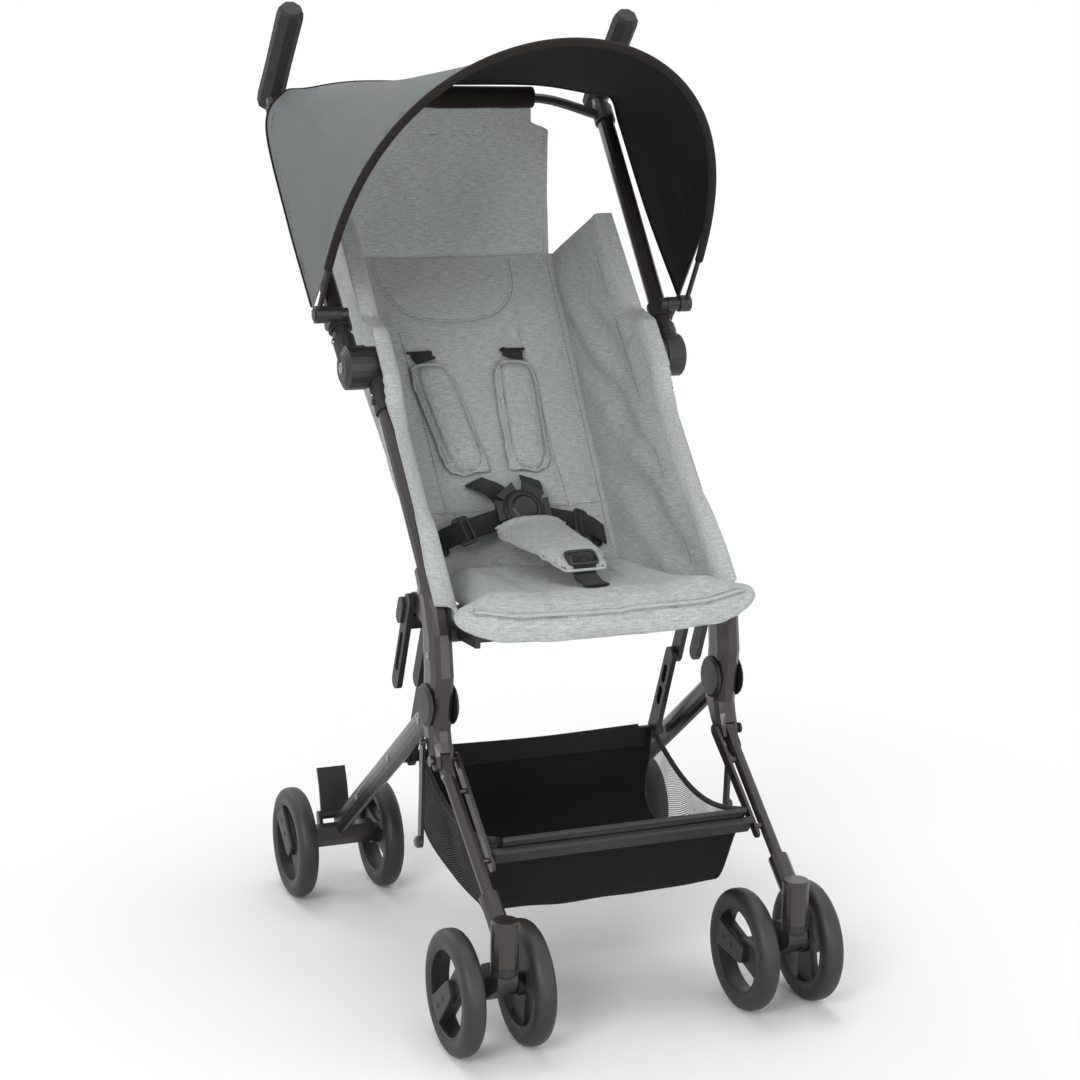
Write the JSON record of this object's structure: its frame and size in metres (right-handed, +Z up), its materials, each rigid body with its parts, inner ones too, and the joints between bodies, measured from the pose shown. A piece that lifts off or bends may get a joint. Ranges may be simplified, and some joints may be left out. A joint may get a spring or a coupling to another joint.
{
  "type": "folding stroller",
  "caption": "Compact folding stroller with paired wheels, reclined sling seat with harness, canopy, head flap and under-seat basket.",
  "frame": {"origin": "on the ground, under the middle of the stroller's outer box", "axes": "+Z up; the child faces -Y, so the front wheels are on the -Y side; +X is the child's left"},
  "size_m": [0.465, 0.6888, 1.0143],
  "materials": {
    "painted_frame": "semi-matte dark graphite paint",
    "black_plastic": "fine-textured black plastic",
    "wheel_rubber": "satin black foam tyre on a black plastic rim",
    "melange_cloth": "grey melange woven cloth",
    "black_cloth": "black woven polyester",
    "canopy_cloth": "slate grey coated cloth",
    "webbing": "black webbing"
  },
  "bodies": {
    "chassis": {"basket": "black_cloth", "buckle": "black_plastic", "crotch_pad": "melange_cloth", "harness_webbing": "webbing", "hinge_inner_L": "black_plastic", "hinge_inner_R": "black_plastic", "leg_housing_L": "painted_frame", "leg_housing_R": "painted_frame", "pivot_cap_L": "black_plastic", "pivot_cap_R": "black_plastic", "pivot_cover_L": "black_plastic", "pivot_cover_R": "black_plastic", "seat_back": "melange_cloth", "seat_board": "black_plastic", "seat_cushion": "melange_cloth", "seat_rail_L": "painted_frame", "seat_rail_R": "painted_frame", "shoulder_pad_L": "melange_cloth", "shoulder_pad_R": "melange_cloth"},
    "buckle_button": {"buckle_button": "black_plastic"},
    "rear_frame": {"rear_leg_L": "painted_frame", "rear_leg_R": "painted_frame", "rear_cross_bar": "black_plastic"},
    "front_frame": {"front_leg_L": "painted_frame", "front_leg_R": "painted_frame", "front_cross_bar": "black_plastic"},
    "handle": {"handle_tube_L": "painted_frame", "handle_tube_R": "painted_frame", "grip_L": "black_plastic", "grip_R": "black_plastic", "handle_crossbar": "black_plastic", "hinge_outer_L": "black_plastic", "hinge_outer_R": "black_plastic", "canopy_clip_L": "black_plastic", "canopy_clip_R": "black_plastic", "canopy": "canopy_cloth", "head_flap": "melange_cloth"},
    "bow": {"canopy_bow": "black_plastic"},
    "release_button_L": {"release_button_L": "black_plastic"},
    "strut_upper_L": {"strut_upper_L": "black_plastic"},
    "strut_lower_L": {"strut_lower_L": "black_plastic"},
    "hanger_L": {"basket_hanger_L": "painted_frame"},
    "caster_L": {"caster_fork_L": "black_plastic"},
    "pedal_L": {"brake_pedal_L": "black_plastic"},
    "front_wheel_L_inner": {"front_wheel_L_inner": "wheel_rubber"},
    "front_wheel_L_outer": {"front_wheel_L_outer": "wheel_rubber"},
    "rear_wheel_L_inner": {"rear_wheel_L_inner": "wheel_rubber"},
    "rear_wheel_L_outer": {"rear_wheel_L_outer": "wheel_rubber"},
    "release_button_R": {"release_button_R": "black_plastic"},
    "strut_upper_R": {"strut_upper_R": "black_plastic"},
    "strut_lower_R": {"strut_lower_R": "black_plastic"},
    "hanger_R": {"basket_hanger_R": "painted_frame"},
    "caster_R": {"caster_fork_R": "black_plastic"},
    "pedal_R": {"brake_pedal_R": "black_plastic"},
    "front_wheel_R_inner": {"front_wheel_R_inner": "wheel_rubber"},
    "front_wheel_R_outer": {"front_wheel_R_outer": "wheel_rubber"},
    "rear_wheel_R_inner": {"rear_wheel_R_inner": "wheel_rubber"},
    "rear_wheel_R_outer": {"rear_wheel_R_outer": "wheel_rubber"}
  },
  "joints": [
    {"name": "frame_fold", "type": "hinge", "parent": "chassis", "child": "rear_frame", "pos_m": [0, -0.13191, 0.314], "axis": [1, 0, 0], "range_deg": [0, 55], "deforming": ["basket"]},
    {"name": "front_frame_fold", "type": "hinge", "parent": "chassis", "child": "front_frame", "pos_m": [0, -0.14891, 0.259], "axis": [1, 0, 0], "range_deg": [0, 105]},
    {"name": "handle_fold", "type": "hinge", "parent": "chassis", "child": "handle", "pos_m": [0, 0.07105, 0.63299], "axis": [1, 0, 0], "range_deg": [0, 90], "deforming": ["head_flap"]},
    {"name": "canopy_bow_fold", "type": "hinge", "parent": "handle", "child": "bow", "pos_m": [0, 0.09794, 0.6875], "axis": [1, 0, 0], "range_deg": [-60, 0], "deforming": ["canopy"]},
    {"name": "strut_upper_fold_L", "type": "hinge", "parent": "chassis", "child": "strut_upper_L", "pos_m": [0.163, -0.07891, 0.411], "axis": [1, 0, 0], "range_deg": [-16.38, 0]},
    {"name": "strut_lower_fold_L", "type": "hinge", "parent": "rear_frame", "child": "strut_lower_L", "pos_m": [0.163, -0.00266, 0.21634], "axis": [1, 0, 0], "range_deg": [0, 45.95]},
    {"name": "basket_hanger_swing_L", "type": "hinge", "parent": "chassis", "child": "hanger_L", "pos_m": [0.163, -0.12791, 0.273], "axis": [1, 0, 0], "range_deg": [0, 34]},
    {"name": "caster_swivel_L", "type": "hinge", "parent": "front_frame", "child": "caster_L", "pos_m": [0.16, -0.31691, 0.1245], "axis": [0, 0, 1], "continuous": true},
    {"name": "brake_pedal_press_L", "type": "hinge", "parent": "rear_frame", "child": "pedal_L", "pos_m": [0.1695, 0.19359, 0.0885], "axis": [1, 0, 0], "range_deg": [-25, 0]},
    {"name": "release_button_press_L", "type": "slide", "parent": "handle", "child": "release_button_L", "axis": [0, -0.7547, -0.6561], "range_m": [0, 0.0025], "stiffness_N_per_m": 600, "springref_m": -0.002},
    {"name": "front_wheel_spin_L_outer", "type": "hinge", "parent": "caster_L", "child": "front_wheel_L_outer", "pos_m": [0.197, -0.28091, 0.0635], "axis": [1, 0, 0], "continuous": true},
    {"name": "front_wheel_spin_L_inner", "type": "hinge", "parent": "caster_L", "child": "front_wheel_L_inner", "pos_m": [0.123, -0.28091, 0.0635], "axis": [1, 0, 0], "continuous": true},
    {"name": "rear_wheel_spin_L_outer", "type": "hinge", "parent": "rear_frame", "child": "rear_wheel_L_outer", "pos_m": [0.221, 0.18309, 0.0635], "axis": [1, 0, 0], "continuous": true},
    {"name": "rear_wheel_spin_L_inner", "type": "hinge", "parent": "rear_frame", "child": "rear_wheel_L_inner", "pos_m": [0.118, 0.18309, 0.0635], "axis": [1, 0, 0], "continuous": true},
    {"name": "strut_upper_fold_R", "type": "hinge", "parent": "chassis", "child": "strut_upper_R", "pos_m": [-0.163, -0.07891, 0.411], "axis": [1, 0, 0], "range_deg": [-16.38, 0]},
    {"name": "strut_lower_fold_R", "type": "hinge", "parent": "rear_frame", "child": "strut_lower_R", "pos_m": [-0.163, -0.00266, 0.21634], "axis": [1, 0, 0], "range_deg": [0, 45.95]},
    {"name": "basket_hanger_swing_R", "type": "hinge", "parent": "chassis", "child": "hanger_R", "pos_m": [-0.163, -0.12791, 0.273], "axis": [1, 0, 0], "range_deg": [0, 34]},
    {"name": "caster_swivel_R", "type": "hinge", "parent": "front_frame", "child": "caster_R", "pos_m": [-0.16, -0.31691, 0.1245], "axis": [0, 0, 1], "continuous": true},
    {"name": "brake_pedal_press_R", "type": "hinge", "parent": "rear_frame", "child": "pedal_R", "pos_m": [-0.1695, 0.19359, 0.0885], "axis": [1, 0, 0], "range_deg": [-25, 0]},
    {"name": "release_button_press_R", "type": "slide", "parent": "handle", "child": "release_button_R", "axis": [0, -0.7547, -0.6561], "range_m": [0, 0.0025], "stiffness_N_per_m": 600, "springref_m": -0.002},
    {"name": "front_wheel_spin_R_outer", "type": "hinge", "parent": "caster_R", "child": "front_wheel_R_outer", "pos_m": [-0.197, -0.28091, 0.0635], "axis": [1, 0, 0], "continuous": true},
    {"name": "front_wheel_spin_R_inner", "type": "hinge", "parent": "caster_R", "child": "front_wheel_R_inner", "pos_m": [-0.123, -0.28091, 0.0635], "axis": [1, 0, 0], "continuous": true},
    {"name": "rear_wheel_spin_R_outer", "type": "hinge", "parent": "rear_frame", "child": "rear_wheel_R_outer", "pos_m": [-0.221, 0.18309, 0.0635], "axis": [1, 0, 0], "continuous": true},
    {"name": "rear_wheel_spin_R_inner", "type": "hinge", "parent": "rear_frame", "child": "rear_wheel_R_inner", "pos_m": [-0.118, 0.18309, 0.0635], "axis": [1, 0, 0], "continuous": true},
    {"name": "buckle_button_press", "type": "slide", "parent": "chassis", "child": "buckle_button", "axis": [0, 0.806, -0.5919], "range_m": [0, 0.002], "stiffness_N_per_m": 500, "springref_m": -0.002}
  ],
  "couplings": [
    {"joint": "front_frame_fold", "follows": "frame_fold", "ratio": 1.9091},
    {"joint": "strut_upper_fold_L", "follows": "frame_fold", "ratio": -0.2892},
    {"joint": "strut_lower_fold_L", "follows": "frame_fold", "ratio": 0.8112},
    {"joint": "basket_hanger_swing_L", "follows": "frame_fold", "ratio": 0.6},
    {"joint": "strut_upper_fold_R", "follows": "frame_fold", "ratio": -0.2892},
    {"joint": "strut_lower_fold_R", "follows": "frame_fold", "ratio": 0.8112},
    {"joint": "basket_hanger_swing_R", "follows": "frame_fold", "ratio": 0.6}
  ]
}
